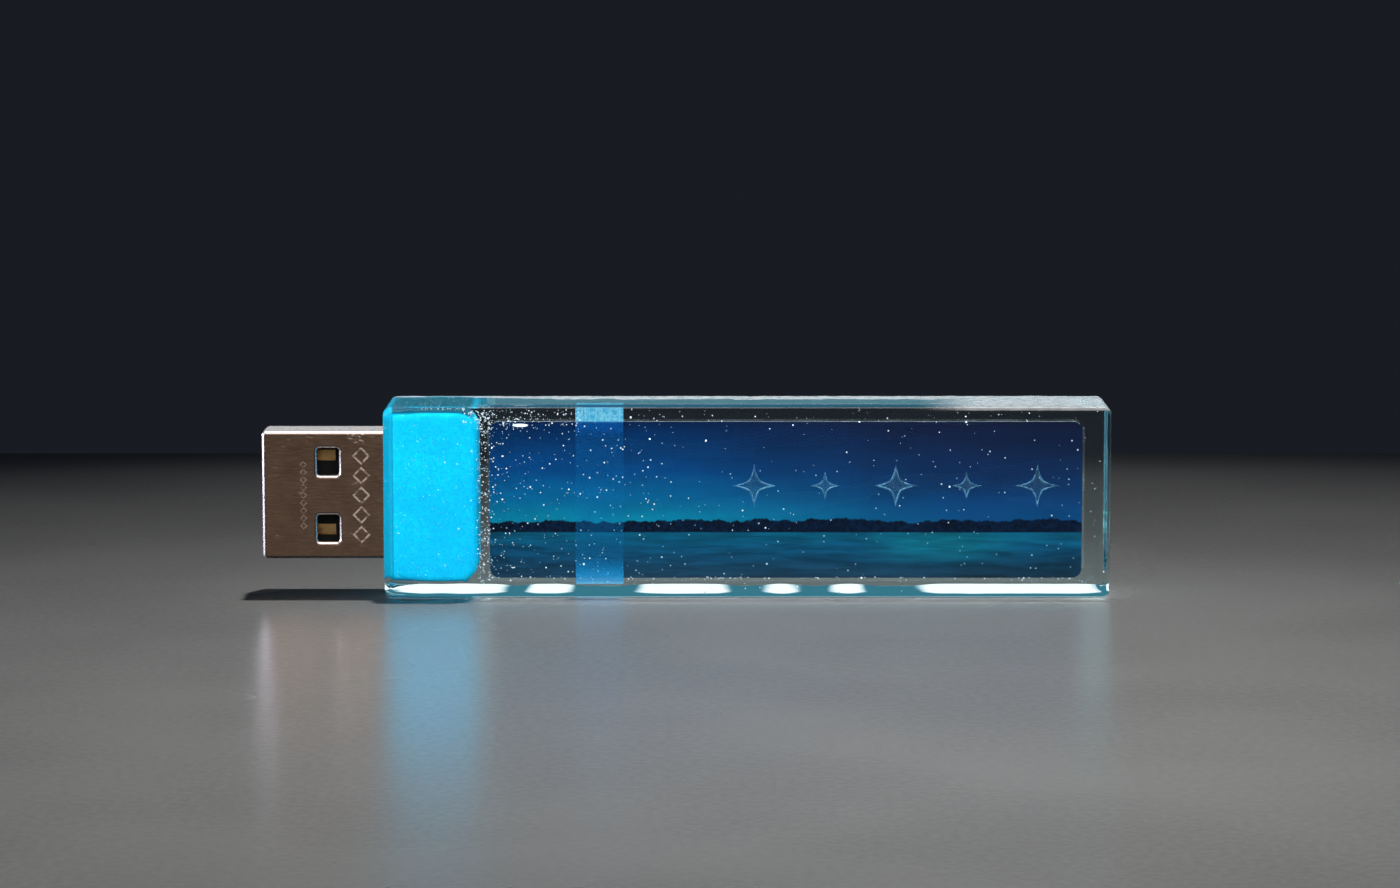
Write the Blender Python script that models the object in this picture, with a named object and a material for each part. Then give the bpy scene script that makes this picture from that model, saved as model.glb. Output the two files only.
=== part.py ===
"""Resin-cast USB flash drive, standing on its long narrow side.

A small ready-made flash drive (steel plug shell, moulded memory module, plastic cap) is coated in
cyan pigmented resin. It is then cast into a clear bar together with a laminated picture and a
translucent blue strip and a row of small clear stars. The clear bar is two pours that meet at
mid-depth.

Frame: +X runs from the plug to the far end, +Y from the picture side to the pour side, +Z is up.
The origin is the middle of the whole drive's underside, plug included. Units are metres.
"""

import math

import bmesh
import bpy

MM = 0.001

# Clear bar and plug: the driving dimensions.
BAR_LENGTH = 67.6 * MM
BAR_HEIGHT = 18.0 * MM
BAR_DEPTH = 9.5 * MM
PLUG_REACH = 11.4 * MM
PLUG_WIDTH = 12.0 * MM
PLUG_DEPTH = 4.5 * MM
PLUG_CENTRE_Z = 9.4 * MM

TIP_X = -(BAR_LENGTH + PLUG_REACH) / 2
BAR_LEFT = TIP_X + PLUG_REACH
BAR_RIGHT = BAR_LEFT + BAR_LENGTH

# Clearances. Pieces lie this far apart, so that no two solids share volume.
GAP = 0.05 * MM
THIN_GAP = 0.03 * MM
PAST = 1.0 * MM  # how far a cutter runs past the face that it opens

# Rounding.
BAR_LEFT_CORNER = 0.9 * MM
BAR_RIGHT_CORNER = 0.6 * MM
BAR_EDGE = 0.35 * MM
CORNER_STEPS = 6
EDGE_STEPS = 3
SHARP_ANGLE = math.radians(35)  # edges that turn further than this are shaded sharp

# Plug shell, folded from steel sheet.
SHELL_WALL = 0.3 * MM
SHELL_LENGTH = 17.4 * MM
SHELL_CORNER = 0.6 * MM
SHELL_LIP = 0.1 * MM  # how far the mouth's rim is chamfered inwards
SHELL_LIP_LENGTH = 0.3 * MM
SEAM_WIDTH = 0.08 * MM
WINDOW_START = 5.16 * MM
WINDOW_LENGTH = 2.0 * MM
WINDOW_WIDTH = 2.5 * MM
WINDOW_OFFSET_Z = 3.13 * MM
WINDOW_CORNER = 0.25 * MM

# Memory module, a board with its dies under one block of moulding compound.
MODULE_START = TIP_X + 0.75 * MM
MODULE_LENGTH = 16.3 * MM
MODULE_WIDTH = 11.1 * MM
BOARD_Y = (0.05 * MM, 0.35 * MM)
MOULD_Y = (0.40 * MM, 1.35 * MM)
HOLDER_Y = (1.40 * MM, 1.85 * MM)
PAD_Y = (-0.04 * MM, 0.02 * MM)
PAD_WIDTH = 1.0 * MM
PAD_END = TIP_X + 6.7 * MM
OUTER_PAD_START = TIP_X + 1.2 * MM
INNER_PAD_START = TIP_X + 2.2 * MM
# Contact pads in the order of the plug's pins: name, height above the plug's centre, start.
PADS = (
    ("contact_pad_power", 3.5 * MM, OUTER_PAD_START),
    ("contact_pad_data_minus", 1.0 * MM, INNER_PAD_START),
    ("contact_pad_data_plus", -1.0 * MM, INNER_PAD_START),
    ("contact_pad_ground", -3.5 * MM, OUTER_PAD_START),
)
DIE_Y = BOARD_Y[1] + THIN_GAP
FLASH_DIE = (7.6 * MM, 0.15 * MM, 8.4 * MM)
FLASH_DIE_X = MODULE_START + 8.3 * MM
FLASH_STAGGER = 0.5 * MM
FLASH_DIE_COUNT = 2
# Small components on the board: name, centre along X from the module's start, height above the
# plug's centre, and size along X, Y and Z.
CONTROLLER = ("controller_die", 2.2 * MM, 0.0, (2.6 * MM, 0.25 * MM, 2.6 * MM))
CRYSTAL = ("clock_crystal", 14.4 * MM, 3.6 * MM, (1.6 * MM, 0.5 * MM, 2.0 * MM))
CAPACITOR_SIZE = (0.5 * MM, 0.5 * MM, 1.0 * MM)
CAPACITOR_X = 14.4 * MM
CAPACITOR_HEIGHTS = (1.4 * MM, -0.4 * MM, -2.2 * MM, -4.0 * MM)
RESISTOR_SIZE = (1.0 * MM, 0.35 * MM, 0.5 * MM)
RESISTOR_X = 2.2 * MM
RESISTOR_HEIGHTS = (3.0 * MM, -3.0 * MM)
NOSE_LENGTH = 0.4 * MM
HOLDER_REAR_BLOCK = 0.5 * MM

# Plastic cap of the small drive, and the cyan resin coat that hides it.
CAP_LEFT = BAR_LEFT + 1.0 * MM
CAP_SIZE = (7.2 * MM, 7.0 * MM, 15.6 * MM)
CAP_POCKET = 5.9 * MM
COAT_LEFT = BAR_LEFT + 0.2 * MM
COAT_SIZE = (8.7 * MM, 7.8 * MM, 16.4 * MM)
CAP_CORNER = 1.5 * MM
COAT_CORNER = 2.3 * MM
INNER_EDGE = 0.5 * MM
SQUARE_CORNER = 0.6 * MM

# Laminated picture and the blue strip in front of it: spans along X, Y and Z.
PICTURE_X = (BAR_LEFT + 9.8 * MM, BAR_LEFT + 65.1 * MM)
PICTURE_Y = (-0.80 * MM, -0.55 * MM)
PICTURE_Z = (1.6 * MM, 16.3 * MM)
PICTURE_CORNER = 0.9 * MM
FILM_BORDER = 0.2 * MM
FRONT_FILM_Y = (-1.00 * MM, -0.85 * MM)
REAR_FILM_Y = (-0.50 * MM, -0.35 * MM)
STRIP_X = (BAR_LEFT + 17.85 * MM, BAR_LEFT + 22.3 * MM)
STRIP_Y = (-1.25 * MM, -1.05 * MM)
STRIP_Z = (1.05 * MM, 17.75 * MM)
STRIP_CORNER = 0.15 * MM

# Clear four-pointed stars in front of the picture, large and small in turn.
STAR_COUNT = 5
STAR_RADII = (2.1 * MM, 1.4 * MM)
STAR_WAIST = 0.36  # inner radius over outer radius
STAR_POINTS = 4
STAR_FIRST_X = BAR_LEFT + 34.5 * MM
STAR_PITCH = 6.6 * MM
STAR_Z = 10.3 * MM
STAR_Y = (-1.40 * MM, -1.05 * MM)
STAR_CLEARANCE = 3 * GAP  # larger than the gap itself, because a star's sides slant


def material(name, colour, roughness, metallic=0.0, alpha=1.0):
    """A plain Principled material. Colour is linear RGB."""
    made = bpy.data.materials.new(name)
    made.use_nodes = True
    shader = made.node_tree.nodes["Principled BSDF"]
    shader.inputs["Base Color"].default_value = (*colour, 1.0)
    shader.inputs["Roughness"].default_value = roughness
    shader.inputs["Metallic"].default_value = metallic
    shader.inputs["Alpha"].default_value = alpha
    return made


def add_object(name, mesh, centre, finish):
    """Links a mesh, modelled about its own centre, as an object at that centre."""
    made = bpy.data.objects.new(name, mesh)
    made.location = centre
    if finish is not None:
        mesh.materials.append(finish)
    bpy.context.scene.collection.objects.link(made)
    return made


def middle(span):
    return (span[0] + span[1]) / 2


def grown(span, by):
    return (span[0] - by, span[1] + by)


def outline(width, height, left_corner, right_corner):
    """Points of a rounded rectangle about (0, 0), anticlockwise, one radius for each side."""
    points = []
    corners = (
        (1, 1, right_corner, 0),
        (-1, 1, left_corner, 90),
        (-1, -1, left_corner, 180),
        (1, -1, right_corner, 270),
    )
    for side, rise, radius, start in corners:
        for step in range(CORNER_STEPS + 1):
            angle = math.radians(start + 90 * step / CORNER_STEPS)
            across = side * (width / 2 - radius) + radius * math.cos(angle)
            up = rise * (height / 2 - radius) + radius * math.sin(angle)
            points.append((across, up))
    return points


def loft(name, rings, centre, finish):
    """Joins rings of points into one closed solid with a flat cap at each end."""
    work = bmesh.new()
    made = [[work.verts.new(point) for point in ring] for ring in rings]
    count = len(rings[0])
    for first, second in zip(made, made[1:]):
        for here in range(count):
            after = (here + 1) % count
            work.faces.new((first[here], first[after], second[after], second[here]))
    work.faces.new(made[0])
    work.faces.new(made[-1])
    bmesh.ops.recalc_face_normals(work, faces=work.faces)
    mesh = bpy.data.meshes.new(name)
    work.to_mesh(mesh)
    work.free()
    mesh.shade_smooth()
    mesh.set_sharp_from_angle(angle=SHARP_ANGLE)
    return add_object(name, mesh, centre, finish)


def block(name, x, y, z, finish=None):
    """A square-edged box between three spans."""
    mesh = bpy.data.meshes.new(name)
    work = bmesh.new()
    bmesh.ops.create_cube(work, size=1.0)
    size = (x[1] - x[0], y[1] - y[0], z[1] - z[0])
    bmesh.ops.scale(work, vec=size, verts=work.verts)
    work.to_mesh(mesh)
    work.free()
    return add_object(name, mesh, (middle(x), middle(y), middle(z)), finish)


def plate(name, x, y, z, corner, finish=None):
    """A flat piece in the XZ plane with round corners and square edges."""
    centre = (middle(x), middle(y), middle(z))
    shape = outline(x[1] - x[0], z[1] - z[0], corner, corner)
    half = (y[1] - y[0]) / 2
    rings = [[(across, depth, up) for across, up in shape] for depth in (-half, half)]
    return loft(name, rings, centre, finish)


def star(name, centre_x, y, radius, finish=None):
    """A four-pointed star in the XZ plane."""
    half = (y[1] - y[0]) / 2
    shape = []
    for step in range(2 * STAR_POINTS):
        reach = radius * (STAR_WAIST if step % 2 else 1.0)
        angle = math.pi * step / STAR_POINTS
        shape.append((reach * math.cos(angle), reach * math.sin(angle)))
    rings = [[(across, depth, up) for across, up in shape] for depth in (-half, half)]
    return loft(name, rings, (centre_x, middle(y), STAR_Z), finish)


def pillow(name, x, y, z, corners, edges, finish=None):
    """A block in the XZ plane with round corners, whose front and rear edges are rounded too.

    corners is the left and the right corner radius, and edges the front and the rear edge radius.
    """
    centre = (middle(x), middle(y), middle(z))
    width, height, depth = x[1] - x[0], z[1] - z[0], y[1] - y[0]
    rings = []
    for side, edge in zip((-1, 1), edges):
        steps = EDGE_STEPS if edge > 0 else 0
        levels = []
        for step in range(steps + 1):
            angle = math.radians(90 * step / max(steps, 1))
            inset = edge * (1 - math.sin(angle))
            level = side * (depth / 2 - edge * (1 - math.cos(angle)))
            shape = outline(
                width - 2 * inset, height - 2 * inset, corners[0] - inset, corners[1] - inset
            )
            levels.append([(across, level, up) for across, up in shape])
        rings += levels if side < 0 else reversed(levels)
    return loft(name, rings, centre, finish)


def plug_section(name, x, grow=0.0, lip=0.0, finish=None):
    """A solid bar of the plug's outer section, grown by a clearance, with a lip at its left end."""
    centre = (middle(x), 0.0, PLUG_CENTRE_Z)
    half = (x[1] - x[0]) / 2
    stations = [(-half, lip), (half, 0.0)]
    if lip > 0:
        stations.insert(1, (SHELL_LIP_LENGTH - half, 0.0))
    rings = []
    for along, inset in stations:
        corner = SHELL_CORNER + grow - inset
        size = 2 * (grow - inset)
        shape = outline(PLUG_DEPTH + size, PLUG_WIDTH + size, corner, corner)
        rings.append([(along, across, up) for across, up in shape])
    return loft(name, rings, centre, finish)


def boolean(target, tool, operation):
    """Joins the tool to the target, or cuts it out, and hides the tool from renders."""
    modifier = target.modifiers.new(f"{operation.lower()} {tool.name}", "BOOLEAN")
    modifier.operation = operation
    modifier.solver = "EXACT"
    modifier.object = tool
    tool.hide_render = True
    tool.display_type = "WIRE"


def make_plug_shell(steel):
    """The folded steel tube: hollow, with two latch windows in each broad face and a rear seam."""
    span = (TIP_X, TIP_X + SHELL_LENGTH)
    shell = plug_section("plug_shell", span, lip=SHELL_LIP, finish=steel)
    hollow = plug_section("shell_hollow_cutter", grown(span, PAST), grow=-SHELL_WALL)
    boolean(shell, hollow, "DIFFERENCE")
    start = TIP_X + WINDOW_START
    for height in (-WINDOW_OFFSET_Z, WINDOW_OFFSET_Z):
        centre_z = PLUG_CENTRE_Z + height
        window = plate(
            f"window_cutter_{'upper' if height > 0 else 'lower'}",
            (start, start + WINDOW_LENGTH),
            (-PLUG_DEPTH, PLUG_DEPTH),
            (centre_z - WINDOW_WIDTH / 2, centre_z + WINDOW_WIDTH / 2),
            WINDOW_CORNER,
        )
        boolean(shell, window, "DIFFERENCE")
    seam_z = (PLUG_CENTRE_Z - SEAM_WIDTH / 2, PLUG_CENTRE_Z + SEAM_WIDTH / 2)
    seam = block("seam_cutter", grown(span, PAST), (PLUG_DEPTH / 4, PLUG_DEPTH), seam_z)
    boolean(shell, seam, "DIFFERENCE")


def component_spans(along, height, size):
    """Spans of a part that sits on the board's rear face."""
    centre_x = MODULE_START + along
    centre_z = PLUG_CENTRE_Z + height
    return (
        (centre_x - size[0] / 2, centre_x + size[0] / 2),
        (DIE_Y, DIE_Y + size[1]),
        (centre_z - size[2] / 2, centre_z + size[2] / 2),
    )


def make_module(board_finish, gold, silicon, ceramic, compound, can):
    """The board with its pads, dies and passives, and the moulding compound cast over them."""
    module_x = (MODULE_START, MODULE_START + MODULE_LENGTH)
    module_z = (PLUG_CENTRE_Z - MODULE_WIDTH / 2, PLUG_CENTRE_Z + MODULE_WIDTH / 2)
    block("module_board", module_x, BOARD_Y, module_z, board_finish)
    for name, height, start in PADS:
        centre_z = PLUG_CENTRE_Z + height
        pad_z = (centre_z - PAD_WIDTH / 2, centre_z + PAD_WIDTH / 2)
        block(name, (start, PAD_END), PAD_Y, pad_z, gold)

    placed = []
    for number in range(FLASH_DIE_COUNT):
        along = FLASH_DIE_X - MODULE_START + number * FLASH_STAGGER
        x, y, z = component_spans(along, 0.0, FLASH_DIE)
        lift = number * (FLASH_DIE[1] + THIN_GAP)
        placed.append((f"flash_die_{number + 1}", x, (y[0] + lift, y[1] + lift), z, silicon))
    for (name, along, height, size), finish in ((CONTROLLER, silicon), (CRYSTAL, can)):
        placed.append((name, *component_spans(along, height, size), finish))
    for number, height in enumerate(CAPACITOR_HEIGHTS, 1):
        spans = component_spans(CAPACITOR_X, height, CAPACITOR_SIZE)
        placed.append((f"capacitor_{number}", *spans, ceramic))
    for number, height in enumerate(RESISTOR_HEIGHTS, 1):
        spans = component_spans(RESISTOR_X, height, RESISTOR_SIZE)
        placed.append((f"resistor_{number}", *spans, ceramic))

    mould = block("module_mould", module_x, MOULD_Y, module_z, compound)
    for name, x, y, z, finish in placed:
        block(name, x, y, z, finish)
        pocket = block(
            f"{name}_pocket",
            grown(x, THIN_GAP),
            (BOARD_Y[1] - PAST, y[1] + THIN_GAP),
            grown(z, THIN_GAP),
        )
        boolean(mould, pocket, "DIFFERENCE")


def make_holder(plastic):
    """The plastic tray behind the module, with a nose in front of it and a block at its rear."""
    module_x = (MODULE_START, MODULE_START + MODULE_LENGTH)
    z = (PLUG_CENTRE_Z - MODULE_WIDTH / 2, PLUG_CENTRE_Z + MODULE_WIDTH / 2)
    x = (module_x[0] - GAP - NOSE_LENGTH, module_x[1] + GAP + HOLDER_REAR_BLOCK)
    holder = block("module_holder", x, (BOARD_Y[0], HOLDER_Y[1]), z, plastic)
    bed_y = (BOARD_Y[0] - PAST, HOLDER_Y[0])
    bed = block("holder_bed_cutter", grown(module_x, GAP), bed_y, grown(z, PAST))
    boolean(holder, bed, "DIFFERENCE")


def inner_block(name, left, size, corner, grow=0.0, finish=None):
    """A rounded block round the plug's axis, square at its left end and round at its right."""
    x = grown((left, left + size[0]), grow)
    y = grown((-size[1] / 2, size[1] / 2), grow)
    z = grown((PLUG_CENTRE_Z - size[2] / 2, PLUG_CENTRE_Z + size[2] / 2), grow)
    corners = (SQUARE_CORNER + grow, corner + grow)
    edge = INNER_EDGE + grow
    return pillow(name, x, y, z, corners, (edge, edge), finish)


def make_cap_and_coat(plastic, cyan):
    """The small drive's own cap, and the pigmented resin coat cast round it."""
    cap = inner_block("inner_cap", CAP_LEFT, CAP_SIZE, CAP_CORNER, finish=plastic)
    pocket_x = (CAP_LEFT - PAST, CAP_LEFT + CAP_POCKET)
    boolean(cap, plug_section("cap_pocket_cutter", pocket_x, grow=GAP), "DIFFERENCE")
    coat = inner_block("cyan_resin_coat", COAT_LEFT, COAT_SIZE, COAT_CORNER, finish=cyan)
    room = inner_block("coat_room_cutter", CAP_LEFT, CAP_SIZE, CAP_CORNER, grow=GAP)
    boolean(coat, room, "DIFFERENCE")
    slot_x = (COAT_LEFT - PAST, CAP_LEFT + PAST)
    boolean(coat, plug_section("coat_slot_cutter", slot_x, grow=GAP), "DIFFERENCE")


def film_plate(name, y, grow=0.0, finish=None):
    """A plate of the laminating film's outline, which stands out round the picture."""
    x, z = (grown(span, FILM_BORDER + grow) for span in (PICTURE_X, PICTURE_Z))
    return plate(name, x, y, z, PICTURE_CORNER + FILM_BORDER + grow, finish)


def strip_plate(name, y, grow=0.0, finish=None):
    """A plate of the blue strip's outline."""
    x, z = (grown(span, grow) for span in (STRIP_X, STRIP_Z))
    return plate(name, x, y, z, STRIP_CORNER + grow, finish)


def make_picture(paper, film, blue):
    """The printed picture between two clear films, and the translucent strip in front of them."""
    plate("picture_print", PICTURE_X, PICTURE_Y, PICTURE_Z, PICTURE_CORNER, paper)
    film_plate("front_film", FRONT_FILM_Y, finish=film)
    film_plate("rear_film", REAR_FILM_Y, finish=film)
    strip_plate("blue_strip", STRIP_Y, finish=blue)


def star_places():
    """Number, centre along X and radius of each star."""
    for number in range(STAR_COUNT):
        radius = STAR_RADII[number % len(STAR_RADII)]
        yield number + 1, STAR_FIRST_X + number * STAR_PITCH, radius


def make_stars(clear):
    for number, centre_x, radius in star_places():
        star(f"clear_star_{number}", centre_x, STAR_Y, radius, clear)


def make_clear_pours(clear):
    """The two halves of the clear bar. The rear pour fills the space behind strip and picture."""
    x, z = (BAR_LEFT, BAR_RIGHT), (0.0, BAR_HEIGHT)
    corners = (BAR_LEFT_CORNER, BAR_RIGHT_CORNER)
    front_y = (-BAR_DEPTH / 2, -GAP / 2)
    rear_y = (GAP / 2, BAR_DEPTH / 2)
    front = pillow("front_clear_pour", x, front_y, z, corners, (BAR_EDGE, 0.0), clear)
    rear = pillow("rear_clear_pour", x, rear_y, z, corners, (0.0, BAR_EDGE), clear)

    picture_room = film_plate("picture_room_cutter", (FRONT_FILM_Y[0] - GAP, PAST), grow=GAP)
    strip_room = strip_plate("strip_room_cutter", (STRIP_Y[0] - GAP, PAST), grow=GAP)
    for tool in (picture_room, strip_room):
        boolean(front, tool, "DIFFERENCE")
    for number, centre_x, radius in star_places():
        room_y = (STAR_Y[0] - GAP, PAST)
        room = star(f"star_room_cutter_{number}", centre_x, room_y, radius + STAR_CLEARANCE)
        boolean(front, room, "DIFFERENCE")

    film_clearance = film_plate(
        "film_clearance_cutter", (STRIP_Y[1] - PAST, REAR_FILM_Y[1] + GAP), grow=GAP
    )
    strip_backing = strip_plate("strip_backing", (STRIP_Y[1] + GAP, PAST), grow=-GAP)
    boolean(strip_backing, film_clearance, "DIFFERENCE")
    picture_backing = film_plate("picture_backing", (REAR_FILM_Y[1] + GAP, PAST), grow=-GAP)
    for tool in (picture_backing, strip_backing):
        boolean(rear, tool, "UNION")

    coat_room = inner_block("coat_pocket_cutter", COAT_LEFT, COAT_SIZE, COAT_CORNER, grow=GAP)
    slot_x = (BAR_LEFT - PAST, COAT_LEFT + PAST)
    plug_slot = plug_section("plug_slot_cutter", slot_x, grow=GAP)
    for pour in (front, rear):
        boolean(pour, coat_room, "DIFFERENCE")
        boolean(pour, plug_slot, "DIFFERENCE")


def main():
    for leftover in list(bpy.data.objects):
        bpy.data.objects.remove(leftover)
    steel = material("plated_steel", (0.42, 0.36, 0.32), 0.3, metallic=1.0)
    gold = material("gold_plate", (0.83, 0.55, 0.2), 0.3, metallic=1.0)
    board_finish = material("solder_mask", (0.01, 0.012, 0.014), 0.45)
    silicon = material("silicon", (0.12, 0.12, 0.14), 0.2)
    ceramic = material("ceramic_chip", (0.35, 0.27, 0.2), 0.5)
    can = material("crystal_can", (0.6, 0.6, 0.58), 0.35, metallic=1.0)
    compound = material("moulding_compound", (0.012, 0.012, 0.013), 0.55)
    plastic = material("black_plastic", (0.015, 0.015, 0.016), 0.5)
    cyan = material("cyan_resin", (0.0, 0.6, 0.95), 0.45)
    paper = material("printed_paper", (0.006, 0.06, 0.18), 0.4)
    film = material("clear_film", (0.85, 0.9, 0.92), 0.1, alpha=0.25)
    blue = material("blue_translucent_film", (0.02, 0.3, 0.75), 0.35, alpha=0.55)
    clear = material("clear_resin", (0.75, 0.88, 0.9), 0.05, alpha=0.25)

    make_plug_shell(steel)
    make_module(board_finish, gold, silicon, ceramic, compound, can)
    make_holder(plastic)
    make_cap_and_coat(plastic, cyan)
    make_picture(paper, film, blue)
    make_stars(film)
    make_clear_pours(clear)


main()
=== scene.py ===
"""Looks for the resin-cast USB flash drive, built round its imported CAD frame.

One clear resin piece stands for the two CAD pours. The steel shell, the cyan coat and the clear
stars are rebuilt with a finer surface. The other CAD nodes stay and get procedural materials.
Units are metres. Sizes are worked out from the CAD nodes' boxes.
"""

import math
import random

import bmesh
import bpy
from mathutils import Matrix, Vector, noise


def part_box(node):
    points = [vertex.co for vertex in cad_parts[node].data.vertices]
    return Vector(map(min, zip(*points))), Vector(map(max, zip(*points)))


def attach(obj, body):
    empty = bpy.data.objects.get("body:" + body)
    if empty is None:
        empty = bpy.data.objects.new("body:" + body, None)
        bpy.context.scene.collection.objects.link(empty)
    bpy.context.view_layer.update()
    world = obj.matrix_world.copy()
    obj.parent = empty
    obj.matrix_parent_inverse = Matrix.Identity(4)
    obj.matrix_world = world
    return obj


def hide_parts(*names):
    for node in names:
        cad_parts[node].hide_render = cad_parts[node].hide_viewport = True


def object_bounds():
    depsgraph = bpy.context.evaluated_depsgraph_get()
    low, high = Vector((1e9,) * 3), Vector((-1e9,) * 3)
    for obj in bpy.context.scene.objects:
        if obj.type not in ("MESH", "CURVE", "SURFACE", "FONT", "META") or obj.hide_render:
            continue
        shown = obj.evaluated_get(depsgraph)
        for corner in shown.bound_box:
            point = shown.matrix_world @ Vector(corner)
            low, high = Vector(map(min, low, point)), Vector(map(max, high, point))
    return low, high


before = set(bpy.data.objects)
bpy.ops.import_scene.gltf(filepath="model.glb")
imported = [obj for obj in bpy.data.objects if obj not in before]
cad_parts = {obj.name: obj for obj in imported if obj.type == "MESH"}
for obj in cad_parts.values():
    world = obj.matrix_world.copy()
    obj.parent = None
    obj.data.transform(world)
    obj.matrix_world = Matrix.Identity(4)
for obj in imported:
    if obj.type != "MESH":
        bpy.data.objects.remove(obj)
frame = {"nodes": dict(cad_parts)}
CAD_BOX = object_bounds()

MM = 0.001
SEED = 20

# -------- places, from the CAD nodes
BAR_LOW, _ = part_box("front_clear_pour")
_, BAR_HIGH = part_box("rear_clear_pour")
PLUG_LOW, PLUG_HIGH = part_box("plug_shell")
COAT_LOW, COAT_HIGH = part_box("cyan_resin_coat")
PICTURE_LOW, PICTURE_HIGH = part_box("picture_print")
FILM_LOW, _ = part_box("front_film")
STRIP_LOW, STRIP_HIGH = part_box("blue_strip")
OBJECT_CENTRE = (CAD_BOX[0] + CAD_BOX[1]) / 2
PLUG_CENTRE_Z = (PLUG_LOW.z + PLUG_HIGH.z) / 2

# -------- shape of the new pieces; lengths without MM are in millimetres
BAR_CORNERS = (0.9 * MM, 0.75 * MM)  # left and right corner radius, seen from the front
# Radii of the bar's edges: by the plug, then in front and at the rear, each at the bottom and the top.
BAR_LEFT_EDGE = 0.6 * MM
BAR_FRONT_EDGES = (0.5 * MM, 0.12 * MM)
BAR_REAR_EDGES = (0.25 * MM, 0.5 * MM)
# Where along X the bar's bottom rises steeply enough to mirror the white card.
BRIGHT_PATCHES = (
    (-27.6, -16.8), (-14.9, -10.7), (-4.7, 4.1), (7.4, 10.6), (13.9, 17.1), (22.3, 39.5),
)
PATCH_RIM = 1.6  # over what distance from its limit a patch sets in
FOOT_RISE = 0.28  # of the bar's bottom, from front to rear
PATCH_RISE = 0.20  # what a patch adds to that
LIP_STARTS = (0.82, 0.62)  # share of the bar's depth where the top's rough lip starts: left, right
LIP_SETTLES = (-25.0, -8.0)  # where along X the first share passes into the second
LIP_WIDENS = (20.0, 28.0)  # where along X the lip grows to the full depth
TOP_SINK = 0.04  # of the top in front of the lip, below the CAD box
LIP_RISE = 0.03  # from there to the lip's rear
POCKET_DEPTH = 3.0 * MM  # from the coat's left side to the end of the plug's pocket in the bar
COAT_CORNERS = (1.0 * MM, 2.1 * MM)
COAT_EDGES = (1.0 * MM, 0.7 * MM)
COAT_INSET = 0.1 * MM  # clear resin between the bar's left end and the coat
COAT_LIFT = 0.30  # of the coat's underside
DRIP_LENGTH = 0.36  # below that
DRIP_INSET = 1.1  # from the coat's right side
DRIP_WIDTH = 0.35

SHEET = 0.3 * MM  # the plug's steel
SHELL_CORNER = 0.35 * MM
WINDOW_START = 5.16 * MM
WINDOW_SIZE = (2.0 * MM, 2.5 * MM)
WINDOW_OFFSET = 3.13 * MM
WINDOW_CORNER = 0.25 * MM
WINDOW_ROUND = 0.36 * MM  # radius of the punched edge
SEAM_WIDTH = 0.08 * MM

WATERLINE = 0.29  # share of the picture's height where the water meets the far shore
FLAKE_THICKNESS = 0.012 * MM
FLAKE_RADII = (0.03 * MM, 0.085 * MM)
FLAKE_TILT = 0.4  # spread of a flake's turn away from the front
SMALL_BUBBLES = 14
BUBBLE_RADII = (0.05, 0.11)
LONG_BUBBLE = (0.75, 0.14, 0.15)  # half its length, depth and height


# ======== mesh helpers
def add_object(name, data):
    added = bpy.data.objects.new(name, data)
    bpy.context.scene.collection.objects.link(added)
    return added


def add_piece(name, mesh, finish, slot, *stands_for):
    """Adds a mesh as a piece that rides on the one rigid body."""
    piece = add_object(name, mesh)
    mesh.materials.clear()
    mesh.materials.append(finish)
    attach(piece, "root")
    if stands_for:
        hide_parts(*stands_for)
    return piece


def shade(mesh, smooth_below):
    """Smooth shading, except over edges that turn by more than smooth_below degrees."""
    mesh.shade_smooth()
    mesh.set_sharp_from_angle(angle=math.radians(smooth_below))


def mesh_from(name, points, faces, smooth_below=None):
    """A mesh with its faces pointing out, flat unless smooth_below is given."""
    mesh = bpy.data.meshes.new(name)
    mesh.from_pydata(points, [], faces)
    work = bmesh.new()
    work.from_mesh(mesh)
    bmesh.ops.recalc_face_normals(work, faces=work.faces)
    work.to_mesh(mesh)
    work.free()
    if smooth_below is not None:
        shade(mesh, smooth_below)
    return mesh


def rings_to_faces(count, size, closed_loop=False):
    """Faces between rings of points that are numbered ring by ring. Open ends are capped."""
    faces = []
    last = count if closed_loop else count - 1
    for ring in range(last):
        first = ring * size
        second = (ring + 1) % count * size
        for here in range(size):
            after = (here + 1) % size
            faces.append((first + here, first + after, second + after, second + here))
    if not closed_loop:
        faces.append(tuple(range(size)))
        faces.append(tuple(range((count - 1) * size, count * size)))
    return faces


def mesh_from_rings(name, rings, closed_loop=False, smooth_below=None):
    """A mesh through rings that have the same number of points."""
    points = [point for ring in rings for point in ring]
    faces = rings_to_faces(len(rings), len(rings[0]), closed_loop)
    return mesh_from(name, points, faces, smooth_below)


def cut(mesh, *cutters):
    """The mesh less the cutters, as a new mesh."""
    target = add_object("cut_target", mesh)
    tools = []
    for cutter in cutters:
        tool = add_object("cut_tool", cutter)
        tools.append(tool)
        modifier = target.modifiers.new("cut", "BOOLEAN")
        modifier.operation = "DIFFERENCE"
        modifier.solver = "EXACT"
        modifier.object = tool
    bpy.context.view_layer.update()
    graph = bpy.context.evaluated_depsgraph_get()
    result = bpy.data.meshes.new_from_object(target.evaluated_get(graph), depsgraph=graph)
    for helper in (target, *tools):
        bpy.data.objects.remove(helper)
    return result


def rounded_rectangle(width, height, radius, steps=8):
    """Points of a rounded rectangle about (0, 0), anticlockwise."""
    points = []
    for side, rise, start in ((1, 1, 0), (-1, 1, 90), (-1, -1, 180), (1, -1, 270)):
        for step in range(steps + 1):
            angle = math.radians(start + 90 * step / steps)
            across = side * (width / 2 - radius) + radius * math.cos(angle)
            up = rise * (height / 2 - radius) + radius * math.sin(angle)
            points.append((across, up))
    return points


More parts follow.
